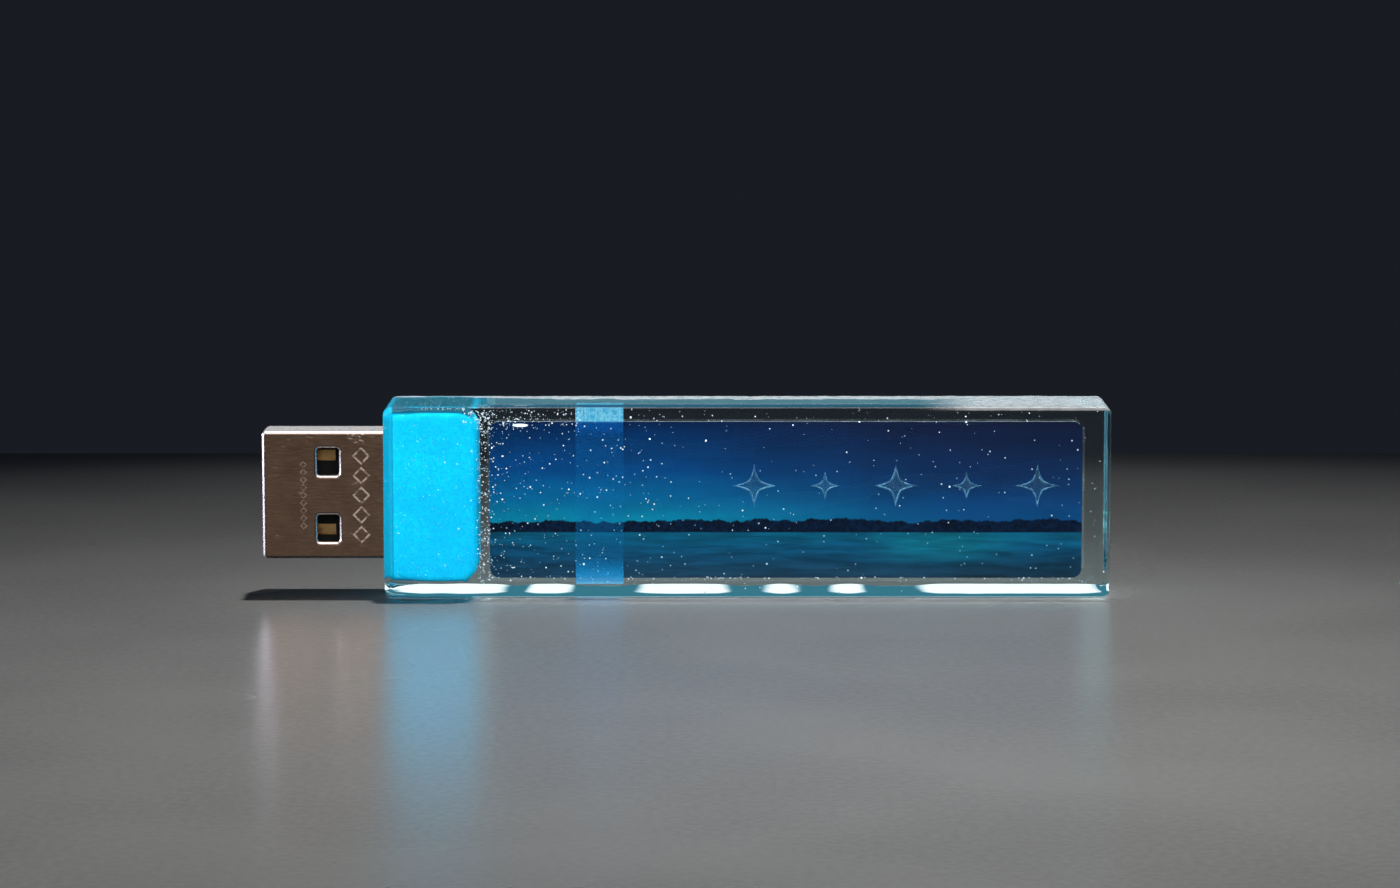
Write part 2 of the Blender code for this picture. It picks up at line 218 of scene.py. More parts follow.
def grid_lines(low, high, margin, pitch):
    """Places along one side of a block: even in the middle, closer together over its ends."""
    shares = (0.0, 0.1, 0.2, 0.3, 0.42, 0.56, 0.75)
    middle = max(1, round((high - low - 2 * margin) / pitch))
    lines = [low + margin * share for share in shares]
    for step in range(middle + 1):
        lines.append(low + margin + (high - low - 2 * margin) * step / middle)
    lines += [high - margin * share for share in reversed(shares)]
    return lines


def clamp(value, low, high):
    return max(low, min(high, value))


def rounded_block(name, low, high, corners, edge_at, pitch, ripple):
    """A block with one corner radius in the XZ plane at the left end and one at the right.
    edge_at(start) is the radius of the edges near a point of the sharp block.
    ripple(point, outward) sinks each point by that much."""
    margin = max(corners)
    lines = [grid_lines(low[axis], high[axis], margin, pitch) for axis in range(3)]
    last = [len(line) - 1 for line in lines]
    number_of = {}
    points = []

    def corner_at(i, j, k):
        key = (i, j, k)
        if key not in number_of:
            number_of[key] = len(points)
            start = Vector((lines[0][i], lines[1][j], lines[2][k]))
            corner = corners[0] if start.x < (low.x + high.x) / 2 else corners[1]
            edge = min(edge_at(start), corner)
            points.append(round_off(start, low, high, corner, edge, ripple))
        return number_of[key]

    faces = []
    for fixed in range(3):
        first, second = [axis for axis in range(3) if axis != fixed]
        for at in (0, last[fixed]):
            for a in range(last[first]):
                for b in range(last[second]):
                    ring = []
                    for da, db in ((0, 0), (1, 0), (1, 1), (0, 1)):
                        index = [0, 0, 0]
                        index[fixed] = at
                        index[first] = a + da
                        index[second] = b + db
                        ring.append(corner_at(*index))
                    faces.append(ring)
    return mesh_from(name, points, faces, smooth_below=50)


def round_off(start, low, high, corner, edge, ripple):
    """Moves a point on a sharp block to the rounded block's surface."""
    inner = Vector((
        clamp(start.x, low.x + corner, high.x - corner),
        0.0,
        clamp(start.z, low.z + corner, high.z - corner),
    ))
    across = Vector((start.x - inner.x, 0.0, start.z - inner.z))
    if across.length > corner - edge:
        across *= (corner - edge) / across.length
    core = inner + across
    core.y = clamp(start.y, low.y + edge, high.y - edge)
    outward = (start - core).normalized()
    surface = core + outward * edge
    return surface - outward * max(0.0, ripple(surface, outward))


def blend(low, high, share):
    return low + (high - low) * share


def smooth_step(low, high, value):
    share = clamp((value - low) / (high - low), 0.0, 1.0)
    return share * share * (3 - 2 * share)


# ======== material helpers
class Nodes:
    """Adds nodes to a material's or a lamp's tree. A value is a socket, a number or a colour."""

    def __init__(self, tree):
        self.tree = tree

    def new(self, kind, **settings):
        node = self.tree.nodes.new(kind)
        for key, value in settings.items():
            setattr(node, key, value)
        return node

    def fill(self, socket, value):
        if isinstance(value, bpy.types.NodeSocket):
            self.tree.links.new(value, socket)
        elif isinstance(value, tuple) and len(value) == 3 and socket.type == "RGBA":
            socket.default_value = (*value, 1.0)
        else:
            socket.default_value = value

    def split(self, vector):
        """X, Y and Z of a vector."""
        node = self.new("ShaderNodeSeparateXYZ")
        self.fill(node.inputs[0], vector)
        return node.outputs

    def geometry(self, name):
        return self.split(self.new("ShaderNodeNewGeometry").outputs[name])

    def math(self, operation, first, second=0.0):
        node = self.new("ShaderNodeMath", operation=operation)
        self.fill(node.inputs[0], first)
        self.fill(node.inputs[1], second)
        return node.outputs[0]

    def product(self, first, *others):
        for other in others:
            first = self.math("MULTIPLY", first, other)
        return first

    def distance(self, first, second):
        return self.math("ABSOLUTE", self.math("SUBTRACT", first, second))

    def within(self, value, low, high):
        """1 where value lies within a span of numbers, and 0 elsewhere."""
        return self.math("LESS_THAN", self.distance(value, (low + high) / 2), (high - low) / 2)

    def between(self, value, start, end, low=0.0, high=1.0, smooth=True):
        """low where value is at start, high where it is at end, and held past them."""
        node = self.new("ShaderNodeMapRange", clamp=True)
        node.interpolation_type = "SMOOTHSTEP" if smooth else "LINEAR"
        numbers = (value, start, end, low, high)
        for socket, number in zip(node.inputs, numbers):
            self.fill(socket, number)
        return node.outputs[0]

    def mix(self, share, first, second):
        node = self.new("ShaderNodeMix", data_type="RGBA")
        self.fill(node.inputs[0], share)
        self.fill(node.inputs[6], first)
        self.fill(node.inputs[7], second)
        return node.outputs[2]

    def scaled(self, vector, number):
        """A vector or a colour times a number."""
        node = self.new("ShaderNodeVectorMath", operation="SCALE")
        self.fill(node.inputs[0], vector)
        self.fill(node.inputs["Scale"], number)
        return node.outputs[0]


class Finish(Nodes):
    """A Principled material under construction, with places in millimetres."""

    def __init__(self, name, **numbers):
        self.material = bpy.data.materials.new(name)
        self.material.use_nodes = True
        super().__init__(self.material.node_tree)
        self.shader = self.tree.nodes["Principled BSDF"]
        self.place = self.scaled(self.new("ShaderNodeTexCoord").outputs["Object"], 1 / MM)
        self.x, self.y, self.z = self.split(self.place)
        for socket, value in numbers.items():
            self.put(socket.replace("_", " "), value)

    def put(self, socket, value):
        names = {name.lower(): name for name in self.shader.inputs.keys()}
        self.fill(self.shader.inputs[names[socket.lower()]], value)

    def noise(self, size, detail=2.0, stretch=(1.0, 1.0, 1.0), rough=0.5):
        """Soft noise from 0 to 1, with features about size millimetres across. A stretch below 1
        draws them out along that axis."""
        place = self.new("ShaderNodeVectorMath", operation="MULTIPLY")
        self.fill(place.inputs[0], self.place)
        place.inputs[1].default_value = stretch
        node = self.new("ShaderNodeTexNoise")
        self.fill(node.inputs["Vector"], place.outputs[0])
        node.inputs["Scale"].default_value = 1 / size
        node.inputs["Detail"].default_value = detail
        node.inputs["Roughness"].default_value = rough
        return node.outputs[0]

    def cells(self, size):
        """Voronoi cells: the distance to each cell's point, and three random numbers per cell."""
        node = self.new("ShaderNodeTexVoronoi")
        self.fill(node.inputs["Vector"], self.place)
        node.inputs["Scale"].default_value = 1 / size
        pick = self.new("ShaderNodeSeparateColor")
        self.fill(pick.inputs[0], node.outputs["Color"])
        return node.outputs["Distance"], pick.outputs

    def ramp(self, value, *stops):
        node = self.new("ShaderNodeValToRGB")
        band = node.color_ramp
        while len(band.elements) < len(stops):
            band.elements.new(0.5)
        for element, (at, colour) in zip(band.elements, stops):
            element.position = at
            element.color = (*colour, 1.0)
        self.fill(node.inputs[0], value)
        return node.outputs[0]

    def bump(self, height, depth):
        """A bump whose height from 0 to 1 stands for depth millimetres."""
        node = self.new("ShaderNodeBump")
        node.inputs["Distance"].default_value = depth * MM
        self.fill(node.inputs["Height"], height)
        self.put("Normal", node.outputs[0])


def srgb(red, green, blue):
    """Linear colour from 8-bit screen values."""
    linear = []
    for value in (red, green, blue):
        share = value / 255
        linear.append(share / 12.92 if share <= 0.04045 else ((share + 0.055) / 1.055) ** 2.4)
    return tuple(linear)


def mottled(name, dark, light, size, roughness, spread=0.08, **numbers):
    """A plain solid whose colour, roughness and surface vary a little from place to place."""
    finish = Finish(name, **numbers)
    grain = finish.noise(size, detail=4.0)
    finish.put("Base Color", finish.mix(grain, dark, light))
    fine = finish.noise(size / 3, detail=3.0)
    finish.put("Roughness", finish.between(fine, 0.2, 0.8, roughness - spread, roughness + spread))
    finish.bump(fine, 0.004)
    return finish.material


# ======== materials
def clear_resin():
    """Cast clear resin, faintly teal through its depth, with a rough milky lip on its top."""
    finish = Finish("clear_cast_resin", IOR=1.5, base_color=(1.0, 1.0, 1.0))
    finish.put("Specular Tint", (0.5, 0.5, 0.5))
    smear = finish.noise(3.0, detail=3.0)
    wobble = finish.noise(2.2, detail=3.0)
    top = finish.between(finish.z, BAR_HIGH.z / MM - 0.45, BAR_HIGH.z / MM - 0.25)
    depth = (BAR_HIGH.y - BAR_LOW.y) / MM
    edge = finish.math("ADD", finish.y, finish.between(wobble, 0.3, 0.7, -0.5, 0.3))
    starts = [BAR_LOW.y / MM + share * depth for share in LIP_STARTS]
    start = finish.between(finish.x, *LIP_SETTLES, *starts)
    lip = finish.between(edge, start, finish.math("ADD", start, 1.0))
    full = finish.between(finish.x, *LIP_WIDENS)
    grit = finish.between(finish.noise(0.9, detail=3.0), 0.3, 0.7, 0.72, 1.0)
    milky = finish.product(top, finish.math("MAXIMUM", lip, full), grit)
    polished = finish.between(smear, 0.45, 0.8, 0.0, 0.012)
    foot = finish.between(finish.z, BAR_LOW.z / MM + 0.7, BAR_LOW.z / MM + 0.4, 0.0, 0.008)
    wear_and_painted_highlight = finish.math("ADD", finish.product(milky, 0.25), foot)
    finish.put("Roughness", finish.math("ADD", polished, wear_and_painted_highlight))
    finish.put("Transmission Weight", finish.between(milky, 0.0, 1.0, 1.0, 0.55))
    absorb = finish.new("ShaderNodeVolumeAbsorption")
    finish.fill(absorb.inputs["Color"], (0.15, 0.86, 0.92))
    finish.fill(absorb.inputs["Density"], 28.0)
    finish.fill(finish.tree.nodes["Material Output"].inputs["Volume"], absorb.outputs[0])
    return finish.material


def cyan_resin():
    """Opaque pigmented resin with fine pale glitter near its surface, and painted shade on its top
    face and along its left edge.
    """
    finish = Finish("cyan_pigment_resin", IOR=1.45, specular_IOR_level=0.05,
                    subsurface_weight=0.25, subsurface_scale=1.2 * MM)
    cloud = finish.noise(3.5, detail=3.0)
    body = finish.mix(finish.between(cloud, 0.3, 0.7), (0.0, 0.56, 0.93), (0.0, 0.63, 0.95))
    grain = finish.noise(0.22, detail=2.0)
    body = finish.scaled(body, finish.between(grain, 0.25, 0.75, 0.90, 1.08))
    specks = finish.math("MAXIMUM", glitter_dots(finish, 0.62, 0.10), glitter_dots(finish, 0.27, 0.05))
    # Painted shade: the coat's top face is dark.
    _, _, facing_up = finish.geometry("Normal")
    body = finish.mix(finish.between(facing_up, 0.5, 0.85), body, (0.0, 0.08, 0.13))
    # Painted shade: a darker band along the coat's left edge, with a darker line.
    edge = COAT_LOW.x / MM + 0.7  # the coat is darker left of this line, and darkest on it
    rim = finish.between(finish.x, edge + 0.02, edge - 0.08)
    body = finish.mix(rim, body, (0.0, 0.40, 0.60))
    line = finish.between(finish.distance(finish.x, edge), 0.1, 0.02, 0.0, 0.7)
    body = finish.mix(line, body, (0.0, 0.22, 0.33))
    finish.put("Base Color", finish.mix(specks, body, (0.45, 0.95, 1.0)))
    finish.put("Roughness", finish.between(finish.noise(0.8), 0.2, 0.8, 0.38, 0.55))
    finish.put("Subsurface Radius", (0.2, 0.8, 1.0))
    finish.bump(cloud, 0.03)
    return finish.material


def glitter_dots(finish, pitch, largest):
    """0 to 1 on round dots of random size and strength, about pitch millimetres apart."""
    far, draws = finish.cells(pitch)
    size = finish.between(draws[0], 0.35, 1.0, 0.0, largest / pitch, smooth=False)
    inside = finish.math("LESS_THAN", far, size)
    return finish.product(inside, finish.between(draws[1], 0.0, 1.0, 0.15, 0.8))


def plated_steel():
    """Nickel-plated steel with scratches and with etched marks of plain shapes. Its faces are dull and
    tinted brown, a painted reflection of a dim warm room; a painted shade runs where they start to
    turn, and a painted highlight lies on its narrow faces and edges."""
    finish = Finish("nickel_plated_steel", metallic=1.0)
    brushed = finish.noise(0.16, detail=2.0, stretch=(0.12, 1.0, 1.0))
    patch = finish.noise(2.2, detail=4.0)
    # The brown tint is a painted reflection of a dim warm room.
    plate_and_painted_light = finish.mix(finish.between(patch, 0.3, 0.7), (0.33, 0.20, 0.135), (0.40, 0.245, 0.165))
    plate_and_painted_light = finish.mix(finish.between(brushed, 0.4, 0.75, 0.0, 0.08), plate_and_painted_light, (0.56, 0.42, 0.33))
    _, facing_front, _ = finish.geometry("Normal")
    flat = finish.math("ABSOLUTE", facing_front)
    # Painted shade where the front faces start to turn; painted highlight on narrow faces and edges.
    plate_and_painted_light = finish.mix(finish.between(flat, 0.998, 0.97), plate_and_painted_light, (0.16, 0.11, 0.09))
    wear_and_painted_highlight = finish.between(flat, 0.93, 0.82)
    plate_and_painted_light = finish.mix(wear_and_painted_highlight, plate_and_painted_light, (0.84, 0.80, 0.80))
    mark = finish.math("MAXIMUM", etched_mark(finish), scratches(finish))
    finish.put("Base Color", finish.mix(mark, plate_and_painted_light, (0.68, 0.56, 0.47)))
    smooth = finish.between(brushed, 0.25, 0.8, 0.25, 0.31)
    scuff = finish.noise(0.5, detail=5.0, stretch=(0.35, 1.0, 1.0), rough=0.65)
    scuffed = finish.between(scuff, 0.62, 0.72, 0.0, 0.2)
    rough = finish.math("ADD", smooth, scuffed)
    finish.put("Roughness", finish.math("ADD", rough, finish.product(mark, 0.3)))
    finish.bump(brushed, 0.0006)
    return finish.material


def scratches(finish):
    """1 on a few bright scratches by the plug's upper edge, close to the resin."""
    tip, top = PLUG_LOW.x / MM, PLUG_HIGH.z / MM
    after = finish.between(finish.x, tip + 7.9, tip + 8.3)
    before = finish.between(finish.x, tip + 9.7, tip + 9.4)
    near_the_edge = finish.between(finish.z, top - 1.3, top - 0.9)
    lines = finish.noise(0.3, detail=4.0, stretch=(1.0, 1.0, 2.2), rough=0.7)
    return finish.product(finish.between(lines, 0.55, 0.6), after, before, near_the_edge)


def etched_mark(finish):
    """1 on a column of large diamond outlines and on a column of small ones, on the front face."""
    tip = PLUG_LOW.x / MM
    large = diamond_column(finish, tip + 9.25, pitch=1.85, reach=0.72, half_length=4.6, line=0.15)
    small = diamond_column(finish, tip + 3.85, pitch=0.72, reach=0.28, half_length=3.2, line=0.07)
    front = finish.math("LESS_THAN", finish.y, PLUG_LOW.y / MM + 0.05)
    both = finish.math("MAXIMUM", large, finish.product(small, 0.6))
    broken = finish.between(finish.noise(0.35, detail=3.0), 0.35, 0.55, 0.2, 0.9)
    return finish.product(both, front, broken)


def diamond_column(finish, at_x, pitch, reach, half_length, line):
    """1 on the outlines of diamonds that repeat along Z every pitch millimetres."""
    up = finish.math("SUBTRACT", finish.z, PLUG_CENTRE_Z / MM)
    side = finish.distance(finish.x, at_x)
    repeated = finish.new("ShaderNodeMath", operation="WRAP")
    for socket, value in zip(repeated.inputs, (up, pitch / 2, -pitch / 2)):
        finish.fill(socket, value)
    spread = finish.math("ADD", side, finish.math("ABSOLUTE", repeated.outputs[0]))
    outline = finish.between(finish.distance(spread, reach), line, line * 0.6)
    inside = finish.math("LESS_THAN", finish.math("ABSOLUTE", up), half_length)
    return finish.product(outline, inside)


def gold_plate():
    finish = Finish("gold_contact", metallic=1.0)
    wear = finish.noise(0.4, detail=4.0, stretch=(0.3, 1.0, 1.0))
    finish.put("Base Color", finish.mix(wear, (0.66, 0.37, 0.14), (0.86, 0.54, 0.24)))
    finish.put("Roughness", finish.between(wear, 0.3, 0.7, 0.22, 0.4))
    finish.bump(wear, 0.002)
    return finish.material


def lake_sky(finish, across, up, cloud):
    """Teal over the shore, dark blue at the top, and darker to the right."""
    left = finish.ramp(
        up, (0.36, srgb(2, 130, 158)), (0.50, srgb(0, 100, 146)),
        (0.68, srgb(0, 68, 124)), (1.0, srgb(2, 36, 78)),
    )
    right = finish.ramp(
        up, (0.36, srgb(6, 72, 122)), (0.50, srgb(8, 58, 106)),
        (0.68, srgb(12, 42, 82)), (1.0, srgb(20, 28, 55)),
    )
    sky = finish.mix(finish.between(across, 0.15, 0.85), left, right)
    return finish.scaled(sky, finish.between(cloud, 0.3, 0.7, 0.86, 1.12))


def lake_water(finish, across, up):
    """Rippled water with a teal glint right of the middle and a dusky lower right corner."""
    water = finish.ramp(
        up, (0.0, srgb(28, 59, 80)), (0.12, srgb(14, 66, 95)),
        (0.2, srgb(8, 77, 110)), (WATERLINE, srgb(6, 104, 136)),
    )
    glint = finish.between(finish.distance(across, 0.76), 0.16, 0.02)
    off_the_foot = finish.between(up, 0.05, 0.22)
    water = finish.mix(finish.product(glint, off_the_foot, 0.5), water, srgb(14, 126, 140))
    wave = finish.noise(0.9, detail=5.0, stretch=(0.16, 1.0, 1.5), rough=0.6)
    water = finish.scaled(water, finish.between(wave, 0.32, 0.68, 0.66, 1.25))
    dusk = finish.product(finish.between(across, 0.55, 1.0), finish.between(up, 0.25, 0.0))
    return finish.scaled(water, finish.between(dusk, 0.0, 1.0, 1.0, 0.62))


def lake_treeline(finish, up):
    """1 between the waterline and the uneven crest of the trees."""
    trees = finish.noise(1.1, detail=5.0, stretch=(1.0, 1.0, 0.0), rough=0.62)
    hills = finish.noise(9.0, detail=2.0, stretch=(1.0, 1.0, 0.0))
    crest = finish.math("ADD", finish.between(trees, 0.25, 0.75, 0.345, 0.385, smooth=False),
                        finish.between(hills, 0.3, 0.7, -0.012, 0.014))
    below = finish.between(finish.math("SUBTRACT", up, crest), 0.006, -0.006)
    return finish.product(below, finish.between(up, WATERLINE - 0.004, WATERLINE + 0.006))


def lake_print():
    """The printed picture: night sky over a treeline and dark water, on white paper."""
    finish = Finish("lake_at_night_print", IOR=1.45, specular_IOR_level=0.0)
    low, high = PICTURE_LOW / MM, PICTURE_HIGH / MM
    across = finish.between(finish.x, low.x, high.x, smooth=False)
    up = finish.between(finish.z, low.z, high.z, smooth=False)
    cloud = finish.noise(5.0, detail=4.0, stretch=(0.45, 1.0, 1.6))

    water, sky = lake_water(finish, across, up), lake_sky(finish, across, up, cloud)
    scene = finish.mix(finish.between(up, WATERLINE - 0.002, WATERLINE + 0.006), water, sky)
    reflection = finish.product(  # of the trees in the water
        finish.between(up, WATERLINE - 0.005, 0.2, 0.75, 0.0),
        finish.between(up, WATERLINE + 0.003, WATERLINE - 0.001),
    )
    scene = finish.scaled(scene, finish.between(reflection, 0.0, 1.0, 1.0, 0.62))
    leaves = finish.noise(0.35, detail=4.0)
    forest = finish.mix(finish.between(leaves, 0.35, 0.75), srgb(2, 15, 34), srgb(6, 33, 62))
    scene = finish.mix(lake_treeline(finish, up), scene, forest)

    # Painted glow of the blue strip in front: the print behind it is tinted a lighter blue.
    behind_the_strip = finish.within(finish.x, STRIP_LOW.x / MM, STRIP_HIGH.x / MM)
    scene = finish.mix(finish.product(behind_the_strip, 0.09), scene, srgb(0, 128, 205))

    fibre = finish.noise(0.25, detail=4.0, stretch=(1.0, 1.0, 0.5))
    paper = finish.mix(fibre, (0.60, 0.64, 0.68), (0.74, 0.77, 0.79))
    show_through = finish.between(cloud, 0.3, 0.7, 0.3, 0.42)
    paper = finish.mix(show_through, paper, scene)
    printed = finish.math("LESS_THAN", finish.y, low.y + 0.02)
    finish.put("Base Color", finish.mix(printed, paper, scene))
    finish.put("Roughness", finish.between(fibre, 0.2, 0.8, 0.4, 0.5))
    return finish.material


def clear_film():
    """Laminating film, seen faintly where its rim stands out round the picture."""
    finish = Finish("laminating_film", IOR=1.45, specular_IOR_level=0.0)
    low, high = PICTURE_LOW / MM, PICTURE_HIGH / MM
    inside = finish.product(
        finish.within(finish.x, low.x, high.x), finish.within(finish.z, low.z, high.z)
    )
    outside = finish.math("SUBTRACT", 1.0, inside)
    haze = finish.noise(1.6, detail=3.0)
    finish.put("Base Color", finish.mix(haze, (0.55, 0.68, 0.74), (0.7, 0.8, 0.84)))
    finish.put("Alpha", finish.product(outside, finish.between(haze, 0.3, 0.7, 0.005, 0.03)))
    finish.put("Roughness", finish.between(haze, 0.3, 0.7, 0.15, 0.3))
    return finish.material


def blue_film():
    """The translucent strip: frosted and pale above the picture. Painted light makes it show more
    below the picture's top and brighter towards its foot.
    """
    finish = Finish("blue_translucent_strip", IOR=1.45, specular_IOR_level=0.0)
    low, high = PICTURE_LOW.z / MM, PICTURE_HIGH.z / MM
    streak = finish.noise(0.3, detail=3.0, stretch=(1.0, 1.0, 0.25))
    frost = finish.noise(0.13, detail=2.0, stretch=(1.0, 1.0, 0.6))
    top = finish.between(finish.z, high - 0.1, high + 0.12)
    foot = finish.between(finish.z, low + 1.2, low - 0.1)
    # Painted shade: the body darkens upwards.
    tint = finish.between(finish.z, low, high, smooth=False)
    body = finish.ramp(tint, (0.0, srgb(10, 140, 200)), (0.5, srgb(4, 120, 190)),
                       (1.0, srgb(4, 92, 175)))
    body = finish.scaled(body, finish.between(streak, 0.2, 0.8, 0.97, 1.03))
    grainy = finish.math("ADD", finish.product(streak, 0.4), finish.product(frost, 0.6))
    frosted = finish.mix(finish.between(grainy, 0.35, 0.65), srgb(62, 176, 220), srgb(150, 222, 242))
    colour = finish.mix(top, body, frosted)
    # Painted light: paler towards the foot.
    colour = finish.mix(foot, colour, srgb(46, 158, 214))
    end = finish.between(finish.z, STRIP_LOW.z / MM + 0.3, STRIP_LOW.z / MM + 0.1, 0.0, 0.6)
    finish.put("Base Color", finish.mix(end, colour, srgb(130, 205, 235)))
    # Painted glow: the strip shows more below the picture's top and towards its foot.
    glow = finish.between(finish.z, high - 1.8, high, 0.05, 0.45)
    painted_glow_at_foot = finish.between(finish.z, low + 2.4, low, 0.02, 0.52)
    over_the_picture = finish.product(top, 0.85)
    shown = finish.math("MAXIMUM", finish.math("MAXIMUM", glow, painted_glow_at_foot), over_the_picture)
    finish.put("Alpha", shown)
    finish.put("Roughness", finish.between(streak, 0.2, 0.8, 0.3, 0.5))
    return finish.material


def clear_relief():
    """Clear plastic of the stars: all but invisible where flat, with a painted pale highlight where
    its sides slope.
    """
    finish = Finish("clear_star_plastic", IOR=1.5)
    _, facing_front, _ = finish.geometry("Normal")
    flat = finish.math("ABSOLUTE", facing_front)
    haze = finish.noise(0.7, detail=3.0)
    # Painted highlight: the sloping sides show pale blue, standing in for the light they catch.
    painted_slope_highlight = finish.between(flat, 0.95, 0.3, 0.03, 0.62)
    finish.put("Alpha", finish.product(painted_slope_highlight, finish.between(haze, 0.3, 0.7, 0.35, 1.0)))
    finish.put("Base Color", finish.mix(haze, (0.20, 0.62, 0.92), (0.45, 0.85, 1.0)))
    finish.put("Roughness", finish.between(haze, 0.3, 0.7, 0.12, 0.25))
    return finish.material


def trapped_air():
    """The skin of an air bubble in resin: its upper half carries a painted reflection of light from
    above, and it is clear underneath.
    """
    finish = Finish("trapped_air", IOR=1.5)
    _, _, facing_up = finish.geometry("Normal")
    haze = finish.noise(0.3)
    finish.put("Base Color", finish.mix(haze, (0.80, 0.92, 0.98), (0.97, 1.0, 1.0)))
    # Painted reflection: whitish and nearly opaque where the skin faces up.
    finish.put("Alpha", finish.between(facing_up, -0.35, 0.0, 0.02, 0.95))
    finish.put("Roughness", finish.between(haze, 0.3, 0.7, 0.05, 0.12))
    return finish.material


def glitter(name, colour, other):
    """Metallised flakes whose tint differs from flake to flake."""
    finish = Finish(name, metallic=1.0)
    _, draws = finish.cells(0.35)
    finish.put("Base Color", finish.mix(draws[0], colour, other))
    finish.put("Roughness", finish.between(draws[1], 0.0, 1.0, 0.2, 0.42, smooth=False))
    return finish.material


# ======== pieces
def wave(place):
    """Soft noise at a place, mostly between 0 and 1."""
    return 0.5 + 0.6 * noise.noise(place)


def bar_ripple(surface, outward):
    """How far the hand-cast bar's surface sinks below the mould's shape. The waves are long
    across the depth, so that the top and the bottom mirror light in whole patches."""
    place = surface / MM
    slow = wave(place * 0.11 + Vector((3.0, 0.0, 7.0)))
    long = wave(Vector((place.x * 0.4, place.y * 0.06, place.z * 0.15)))
    fine = wave(place * 0.45)
    ends = abs(outward.x)
    sunk = 0.012 * slow + ends * (0.03 * slow + 0.02 * fine) + abs(outward.z) * 0.012 * long
    sunk += max(0.0, outward.z) ** 2 * top_fall(place)
    sunk += max(0.0, -outward.z) ** 2 * foot_fall(place)
    return sunk * MM


def depth_share(place):
    """0 at the bar's front and 1 at its rear."""
    return (place.y - BAR_LOW.y / MM) / ((BAR_HIGH.y - BAR_LOW.y) / MM)


def top_fall(place):
    """The top is flat and smooth in front, with a rough lip along the rear that widens to the
    full depth at the right end."""
    back = depth_share(place)
    full = smooth_step(*LIP_WIDENS, place.x)
    start = blend(*LIP_STARTS, smooth_step(*LIP_SETTLES, place.x))
    lip = smooth_step(start, 1.0, back)
    bumps = noise.noise(place * 0.7) * 0.03 + noise.noise(place * 1.6) * 0.008
    rough = max(full, smooth_step(start, start + 0.1, back))
    return TOP_SINK - LIP_RISE * blend(lip, back, full) + rough * bumps


def foot_fall(place):
    """The bottom rises to the rear, more steeply in the patches that mirror the white card."""
    bright = 0.0
    for start, end in BRIGHT_PATCHES:
        inside = smooth_step(start - PATCH_RIM, start + PATCH_RIM, place.x)
        inside *= 1 - smooth_step(end - PATCH_RIM, end + PATCH_RIM, place.x)
        bright = max(bright, inside)
    uneven = 0.03 * noise.noise(Vector((place.x * 0.5, place.y * 0.1, 5.0)))
    return 0.01 + (FOOT_RISE + PATCH_RISE * bright + uneven) * depth_share(place)


def bar_edge(start):
    """The bar's edge radius near a point: one value by the plug, else by side and by height."""
    edges = BAR_FRONT_EDGES if start.y < OBJECT_CENTRE.y else BAR_REAR_EDGES
    height = smooth_step(BAR_LOW.z + 2 * MM, BAR_LOW.z + 6 * MM, start.z)
    right = smooth_step(BAR_LOW.x + 1 * MM, BAR_LOW.x + 4 * MM, start.x)
    return blend(BAR_LEFT_EDGE, blend(*edges, height), right)


def make_resin_bar():
    bar = rounded_block("resin_bar", BAR_LOW, BAR_HIGH, BAR_CORNERS, bar_edge, 0.5 * MM, bar_ripple)
    # The pocket's wall lies inside the plug's sheet, so that no air gap shows round the plug.
    width = PLUG_HIGH.y - PLUG_LOW.y - SHEET
    height = PLUG_HIGH.z - PLUG_LOW.z - SHEET
    outline = rounded_rectangle(width, height, SHELL_CORNER - SHEET / 2)
    rings = []
    for x in (BAR_LOW.x - 1 * MM, COAT_LOW.x + POCKET_DEPTH):
        rings.append([(x, y, PLUG_CENTRE_Z + z) for y, z in outline])
    bar = cut(bar, mesh_from_rings("plug_pocket", rings))
    shade(bar, smooth_below=50)
    piece = add_piece("resin_bar", bar, clear_resin(), "clear_resin",
                      "front_clear_pour", "rear_clear_pour")
    piece.visible_shadow = False  # light reaches the pieces inside without noise
    return piece


def coat_ripple(surface, outward):
    """Uneven hand-poured surface, with a small drip at the lower right."""
    place = surface / MM
    slow = wave(place * 0.35 + Vector((9.0, 2.0, 0.0)))
    fine = wave(place * 1.3)
    side = 1.0 - abs(outward.y)
    sunk = 0.01 + 0.05 * slow + side * (0.06 * slow + 0.035 * fine)
    drip = math.exp(-(((place.x - COAT_HIGH.x / MM + DRIP_INSET) / DRIP_WIDTH) ** 2))
    below = max(0.0, -outward.z) ** 2
    above = max(0.0, outward.z) ** 2
    return (sunk + below * (COAT_LIFT - DRIP_LENGTH * drip) + above * 0.04) * MM


def coat_edge(start):
    right = smooth_step(COAT_LOW.x + 1.5 * MM, COAT_LOW.x + 4 * MM, start.x)
    return blend(*COAT_EDGES, right)


def make_cyan_coat():
    low = COAT_LOW + Vector((COAT_INSET, 0.0, 0.0))
    mesh = rounded_block("cyan_coat", low, COAT_HIGH, COAT_CORNERS, coat_edge, 0.3 * MM, coat_ripple)
    add_piece("cyan_coat", mesh, cyan_resin(), "cyan_resin", "cyan_resin_coat")


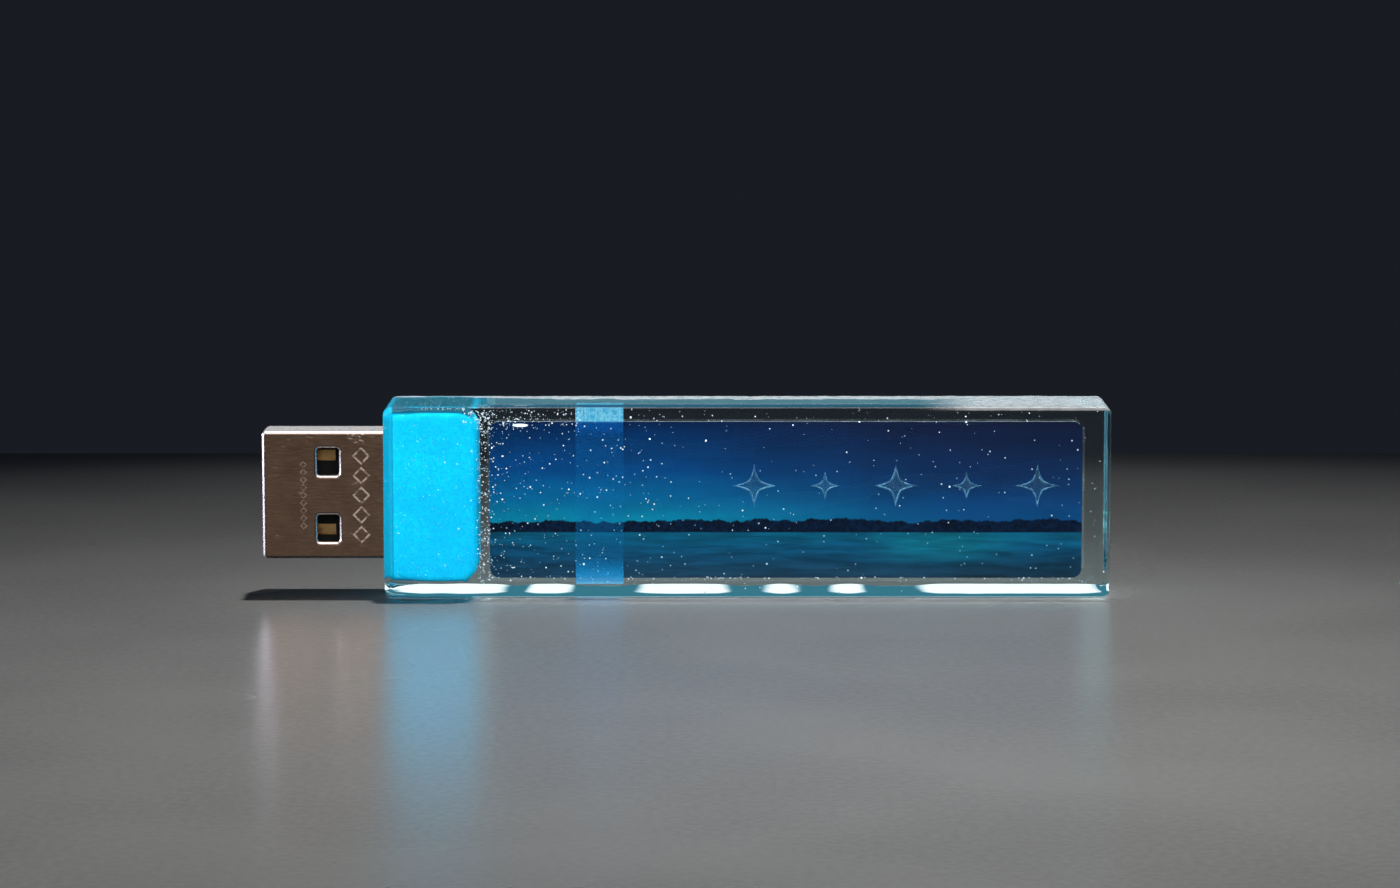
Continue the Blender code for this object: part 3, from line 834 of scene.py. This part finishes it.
def shell_blank():
    """The folded tube before its windows are punched: rings from the mouth along the outside
    to the rear end, and back along the inside."""
    outer_lip = [(0.42, 0.0), (0.30, 0.02), (0.18, 0.07), (0.08, 0.15), (0.02, 0.23), (0.0, 0.28)]
    length = PLUG_HIGH.x - PLUG_LOW.x
    stations = [(along * MM, inset * MM) for along, inset in reversed(outer_lip)]
    stations += [(length - 0.05 * MM, 0.0), (length, 0.05 * MM)]
    stations += [(length, SHEET - 0.05 * MM), (length - 0.05 * MM, SHEET)]
    stations += [(0.05 * MM, SHEET)]
    width = PLUG_HIGH.y - PLUG_LOW.y
    height = PLUG_HIGH.z - PLUG_LOW.z
    rings = []
    for along, inset in stations:
        outline = rounded_rectangle(width - 2 * inset, height - 2 * inset, SHELL_CORNER - inset)
        rings.append([(PLUG_LOW.x + along, y, PLUG_CENTRE_Z + z) for y, z in outline])
    return mesh_from_rings("shell_blank", rings, closed_loop=True)


def window_cutter(side, height):
    """A punch for one latch window, flared so that it leaves a round outer edge."""
    depths = [(-0.2 * MM, WINDOW_ROUND)]
    steps = 5
    for step in range(steps + 1):
        angle = math.radians(90 * step / steps)
        depth = WINDOW_ROUND * (1 - math.cos(angle))
        grow = WINDOW_ROUND * (1 - math.sin(angle))
        depths.append((depth, grow))
    depths.append((SHEET + 0.3 * MM, 0.0))
    centre_x = PLUG_LOW.x + WINDOW_START + WINDOW_SIZE[0] / 2
    face = PLUG_HIGH.y if side > 0 else PLUG_LOW.y
    rings = []
    for depth, grow in depths:
        outline = rounded_rectangle(
            WINDOW_SIZE[0] + 2 * grow, WINDOW_SIZE[1] + 2 * grow, WINDOW_CORNER + grow
        )
        rings.append([(centre_x + x, face - side * depth, PLUG_CENTRE_Z + height + z)
                      for x, z in outline])
    return mesh_from_rings("window_punch", rings)


def seam_cutter():
    """The slit where the folded sheet's two ends meet, at the rear."""
    inner, outer = 0.5 * PLUG_HIGH.y, 1.5 * PLUG_HIGH.y
    low, high = PLUG_CENTRE_Z - SEAM_WIDTH / 2, PLUG_CENTRE_Z + SEAM_WIDTH / 2
    rings = []
    for x in (PLUG_LOW.x - 1 * MM, PLUG_HIGH.x + 1 * MM):
        rings.append([(x, inner, low), (x, outer, low), (x, outer, high), (x, inner, high)])
    return mesh_from_rings("seam_slit", rings)


def make_plug_shell():
    cutters = [seam_cutter()]
    for side in (-1, 1):
        for height in (-WINDOW_OFFSET, WINDOW_OFFSET):
            cutters.append(window_cutter(side, height))
    mesh = cut(shell_blank(), *cutters)
    shade(mesh, smooth_below=40)
    piece = add_piece("plug_shell_folded", mesh, plated_steel(), "plated_steel", "plug_shell")
    weighted = piece.modifiers.new("flat faces stay flat", "WEIGHTED_NORMAL")
    weighted.keep_sharp = True
    return piece


def star_outline(radius, waist=0.36, points=4, steps=6):
    """A star with slightly hollow sides."""
    outline = []
    for corner in range(2 * points):
        here = radius * (waist if corner % 2 else 1.0)
        after = radius * (1.0 if corner % 2 else waist)
        angle, turn = math.pi * corner / points, math.pi / points
        start = Vector((here * math.cos(angle), here * math.sin(angle)))
        end = Vector((after * math.cos(angle + turn), after * math.sin(angle + turn)))
        for step in range(steps):
            share = step / steps
            hollow = 1 - 0.12 * math.sin(math.pi * share)
            outline.append(start.lerp(end, share) * hollow)
    return outline


def make_star(node, finish):
    """A clear star with a raised rim round a shallow dish."""
    low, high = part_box(node)
    radius = (high.x - low.x) / 2 * 0.98
    centre = (low + high) / 2
    profile = ((1.0, 0.0), (1.0, 0.35), (0.97, 0.75), (0.91, 1.0), (0.84, 1.0), (0.77, 0.75),
               (0.72, 0.3), (0.5, 0.2), (0.2, 0.2))
    thick = high.y - low.y
    rings = []
    for share, rise in profile:
        rings.append([(centre.x + p.x * share, high.y - rise * thick, centre.z + p.y * share)
                      for p in star_outline(radius)])
    mesh = mesh_from_rings(f"{node}_cast", rings, smooth_below=60)
    piece = add_piece(f"{node}_cast", mesh, finish, "clear_film", node)
    piece.visible_shadow = False


def flake(points, faces, place, size, draw):
    """Adds one thin hexagonal flake, turned roughly to the front, to lists of points and faces."""
    normal = Vector((draw.gauss(0, FLAKE_TILT), -1.0, draw.gauss(0, FLAKE_TILT))).normalized()
    side = normal.orthogonal().normalized()
    turned = normal.cross(side)
    spin = draw.uniform(0, math.tau)
    first = len(points)
    for level in (-FLAKE_THICKNESS / 2, FLAKE_THICKNESS / 2):
        for corner in range(6):
            angle = spin + math.tau * corner / 6
            points.append(place + normal * level
                          + side * (size * math.cos(angle)) + turned * (size * math.sin(angle)))
    for face in rings_to_faces(2, 6):
        faces.append(tuple(first + index for index in face))


def make_glitter():
    """Flakes in the resin: crowded above and beside the coat, sparse elsewhere."""
    draw = random.Random(SEED)
    silver = glitter("silver_glitter", (0.92, 0.94, 0.96), (0.75, 0.9, 0.98))
    gold = glitter("gold_glitter", (0.98, 0.9, 0.72), (0.95, 0.8, 0.85))
    pearl = mottled("pearl_glitter", (0.88, 0.93, 0.96), (1.0, 1.0, 0.97), 0.3, 0.3)
    front, back = BAR_LOW.y + 0.35 * MM, FILM_LOW.y - 0.15 * MM
    left, right = BAR_LOW.x, BAR_HIGH.x
    top, foot = BAR_HIGH.z, BAR_LOW.z
    edge = COAT_HIGH.x
    regions = (
        ("over_the_coat", 400, (left + 1.0 * MM, edge - 1.2 * MM),
         (COAT_LOW.y + 0.3 * MM, COAT_HIGH.y - 0.3 * MM),
         (COAT_HIGH.z - 0.02 * MM, COAT_HIGH.z + 0.2 * MM)),
        ("above_the_picture", 240, (edge - 1.5 * MM, edge + 9.5 * MM), (front, back),
         (PICTURE_HIGH.z - 0.5 * MM, top - 0.5 * MM)),
        ("beside_the_coat", 330, (edge - 0.2 * MM, PICTURE_LOW.x + 0.1 * MM), (front, back),
         (foot + 1.3 * MM, top - 0.6 * MM)),
        ("left_half", 430, (PICTURE_LOW.x, 0.0), (front, back), (foot + 1 * MM, top - 0.5 * MM)),
        ("right_half", 190, (0.0, right - 0.6 * MM), (front, back),
         (foot + 0.6 * MM, top - 0.5 * MM)),
        ("along_the_foot", 90, (PICTURE_LOW.x, PICTURE_HIGH.x), (back - 0.3 * MM, back),
         (PICTURE_LOW.z - 0.05 * MM, PICTURE_LOW.z + 0.12 * MM)),
        ("behind_the_picture", 420, (PICTURE_LOW.x, right - 0.6 * MM),
         (0.1 * MM, -front), (foot + 0.6 * MM, top - 0.5 * MM)),
    )
    for name, count, x, y, z in regions:
        metal, pearly = ([], []), ([], [])
        pearl_share = 0.85 if name in ("beside_the_coat", "above_the_picture") else 0.65
        for _ in range(count):
            share = draw.random()
            if name in ("left_half", "above_the_picture"):
                share **= 1.6  # thins out away from the coat
            place = Vector((blend(*x, share), draw.uniform(*y), draw.uniform(*z)))
            points, faces = pearly if draw.random() < pearl_share else metal
            flake(points, faces, place, blend(*FLAKE_RADII, draw.random() ** 2), draw)
        tint = gold if name in ("beside_the_coat", "along_the_foot", "over_the_coat") else silver
        for kind, (points, faces), finish in (("metal", metal, tint), ("pearl", pearly, pearl)):
            mesh = mesh_from(f"glitter_{name}_{kind}", points, faces)
            add_piece(f"glitter_{name}_{kind}", mesh, finish, "clear_resin")


def make_bubbles():
    """One long bubble at the film's upper edge and a few tiny round ones."""
    draw = random.Random(SEED + 1)
    spots = [(Vector((PICTURE_LOW.x + 2.9 * MM, FILM_LOW.y - 0.3 * MM, PICTURE_HIGH.z - 0.3 * MM)),
              Vector(LONG_BUBBLE) * MM)]
    for _ in range(SMALL_BUBBLES):
        place = Vector((draw.uniform(PICTURE_LOW.x, BAR_HIGH.x - 1 * MM),
                        draw.uniform(BAR_LOW.y + 0.5 * MM, FILM_LOW.y - 0.3 * MM),
                        draw.uniform(BAR_LOW.z + 1 * MM, BAR_HIGH.z - 1 * MM)))
        size = draw.uniform(*BUBBLE_RADII)
        spots.append((place, Vector((size, size, size)) * MM))
    work = bmesh.new()
    for place, size in spots:
        made = bmesh.ops.create_icosphere(work, subdivisions=3, radius=1.0)["verts"]
        for vert in made:
            vert.co = Vector(vert.co * size) + place
    mesh = bpy.data.meshes.new("trapped_bubbles")
    work.to_mesh(mesh)
    work.free()
    mesh.shade_smooth()
    piece = add_piece("trapped_bubbles", mesh, trapped_air(), "clear_resin")
    piece.visible_shadow = False


def finish_cad_nodes():
    """Gives each CAD node that stays a procedural material."""
    nodes = frame["nodes"]
    gold = gold_plate()
    film = clear_film()
    black = mottled("black_moulded_plastic", (0.012, 0.012, 0.013), (0.024, 0.024, 0.026), 0.5, 0.45)
    mask = mottled("dark_solder_mask", (0.004, 0.005, 0.005), (0.008, 0.009, 0.009), 0.8, 0.5,
                   specular_IOR_level=0.2)
    epoxy = mottled("moulding_compound", (0.01, 0.01, 0.011), (0.022, 0.022, 0.022), 0.15, 0.6)
    die = mottled("polished_silicon", (0.10, 0.10, 0.13), (0.15, 0.15, 0.18), 1.2, 0.2, spread=0.05)
    chip = mottled("sintered_ceramic", (0.30, 0.23, 0.16), (0.42, 0.33, 0.25), 0.2, 0.5)
    can = mottled("crystal_can", (0.5, 0.5, 0.48), (0.66, 0.66, 0.64), 0.4, 0.35, metallic=1.0)
    by_prefix = (
        ("contact_pad", gold), ("front_film", film), ("rear_film", film), ("inner_cap", black),
        ("module_holder", black), ("module_board", mask), ("module_mould", epoxy),
        ("controller_die", die), ("flash_die", die), ("capacitor", chip), ("resistor", chip),
        ("clock_crystal", can), ("picture_print", lake_print()), ("blue_strip", blue_film()),
    )
    for prefix, finish in by_prefix:
        for name, node in nodes.items():
            if name.startswith(prefix):
                for slot in node.material_slots:
                    slot.material = finish
    for name in ("front_film", "rear_film"):
        nodes[name].visible_shadow = False


# ======== stage, light and camera
def make_floor():
    """A plain pale table top, slightly glossy. Painted shade darkens it a little behind the object,
    and more along its far edge."""
    left, right, front, back = -0.9, 0.9, -0.9, 0.104
    mesh = bpy.data.meshes.new("table_top")
    mesh.from_pydata([(left, front, 0), (right, front, 0), (right, back, 0), (left, back, 0)], [],
                     [(0, 1, 2, 3)])
    finish = Finish("pale_table_top", IOR=1.6)
    grain = finish.noise(0.7, detail=4.0)
    stain = finish.noise(35.0, detail=2.0)
    tone = finish.mix(finish.between(stain, 0.3, 0.7), (0.398, 0.394, 0.382), (0.435, 0.431, 0.418))
    tone = finish.scaled(tone, finish.between(grain, 0.3, 0.7, 0.94, 1.06))
    # Painted shade: darker behind the object and along the far edge.
    tone = finish.scaled(tone, finish.between(finish.y, -15.0, 45.0, 1.0, 0.82))
    far_edge = finish.between(finish.y, back / MM - 20, back / MM + 1, 1.0, 0.5)
    finish.put("Base Color", finish.scaled(tone, far_edge))
    finish.put("Roughness", finish.between(stain, 0.3, 0.7, 0.25, 0.29))
    mesh.materials.append(finish.material)
    floor = add_object("table_top", mesh)
    floor.location.z = -0.02 * MM  # just clear of the object
    return floor


def softbox(name, place, aim, size, power, colour=(1.0, 1.0, 1.0), spread=180):
    light = bpy.data.lights.new(name, "AREA")
    light.shape = "RECTANGLE"
    light.size, light.size_y = size
    light.energy = power
    light.color = colour
    light.spread = math.radians(spread)
    lamp = add_object(name, light)
    lamp.location = place
    lamp.rotation_euler = (Vector(aim) - Vector(place)).to_track_quat("-Z", "Y").to_euler()
    lamp.visible_camera = False
    return lamp


def soften_edges(lamp, share):
    """Makes a lamp fade out over a share of its height, at its top and at its bottom."""
    lamp.data.use_nodes = True
    nodes = Nodes(lamp.data.node_tree)
    _, up, _ = nodes.geometry("Parametric")
    fade = nodes.between(nodes.distance(up, 0.5), 0.5, 0.5 - share)
    nodes.fill(nodes.tree.nodes["Emission"].inputs["Strength"], fade)


def link_light(lamp, objects, state):
    """INCLUDE: the lamp lights only these objects. EXCLUDE: it lights all but these."""
    linked = bpy.data.collections.new(f"{lamp.name}_linking")
    for number, item in enumerate(objects):
        linked.objects.link(item)
        linked.collection_objects[number].light_linking.link_state = state
    lamp.light_linking.receiver_collection = linked


def darken_room():
    """A dim bluish room, which is also the backdrop."""
    world = bpy.data.worlds.new("studio")
    world.use_nodes = True
    background = world.node_tree.nodes["Background"]
    background.inputs["Color"].default_value = (0.0095, 0.0115, 0.0160, 1.0)
    bpy.context.scene.world = world
    bpy.context.scene.view_settings.view_transform = "Standard"


def light_studio(floor, bar, plug):
    """One lamp makes a pool on the floor, and the others leave the floor dark. The teal one, low
    behind the object, lights only the resin bar, which mirrors it. Three light only the plug."""
    centre = tuple(OBJECT_CENTRE)
    rear, width = 1.5, 2.4  # of the cards behind the object
    pool = softbox("overhead", (0.01, 0.09, 0.45), (0.02, -0.09, 0.0), (0.018, 0.018), 0.130, spread=51)
    pool.visible_glossy = False  # no blinding spot where the floor would mirror it
    behind = softbox("behind", (0.0, rear, 0.480), centre, (width, 0.140), 1.32)
    soften_edges(behind, 0.32)
    object_only = (
        behind,
        softbox("ceiling", (0.0, 0.0, 0.42), centre, (0.6, 0.6), 1.9),
        softbox("left", (-0.42, -0.20, 0.10), centre, (0.45, 0.3), 1.1, (0.80, 0.88, 1.0)),
        softbox("front_fill", (0.05, -0.45, 0.30), centre, (0.5, 0.3), 1.6),
    )
    for lamp in object_only:
        link_light(lamp, (floor,), "EXCLUDE")
    teal = (0.13, 0.74, 1.0)
    glow = softbox("behind_low", (0.0, rear + 0.02, 0.217), centre, (width, 0.434), 0.80, teal)
    link_light(glow, (bar,), "INCLUDE")
    plug_only = (
        softbox("plug_top", (0.0, rear, 0.220), centre, (width, 0.25), 1.2),
        softbox("plug_left", (-0.45, 0.0, 0.06), centre, (0.4, 0.16), 2.8, (0.85, 0.84, 1.0)),
        softbox("plug_over", (0.0, 0.0, 0.4), centre, (0.5, 1.0), 1.3),
    )
    for lamp in plug_only:
        link_light(lamp, (plug,), "INCLUDE")


def place_camera():
    """In front of the broad face and a little above, aimed just over the drive."""
    elevation = math.radians(7.7)
    distance = 430 * MM
    opposite = OBJECT_CENTRE + Vector((1.34 * MM, 0.0, 0.0))
    aim = opposite + Vector((0.0, 0.0, 4.94 * MM))
    camera_data = bpy.data.cameras.new("camera")
    camera_data.lens = 117.9
    camera_data.clip_start = 0.01
    camera_data.clip_end = 5.0
    camera = add_object("camera", camera_data)
    back = Vector((0.0, -math.cos(elevation), math.sin(elevation)))
    camera.location = opposite + back * distance
    camera.rotation_euler = (aim - camera.location).to_track_quat("-Z", "Y").to_euler()
    bpy.context.scene.camera = camera


place_camera()
resin_bar = make_resin_bar()
make_cyan_coat()
plug = make_plug_shell()
star_plastic = clear_relief()
for node_name in sorted(frame["nodes"]):
    if node_name.startswith("clear_star"):
        make_star(node_name, star_plastic)
make_glitter()
make_bubbles()
finish_cad_nodes()
light_studio(make_floor(), resin_bar, plug)
darken_room()
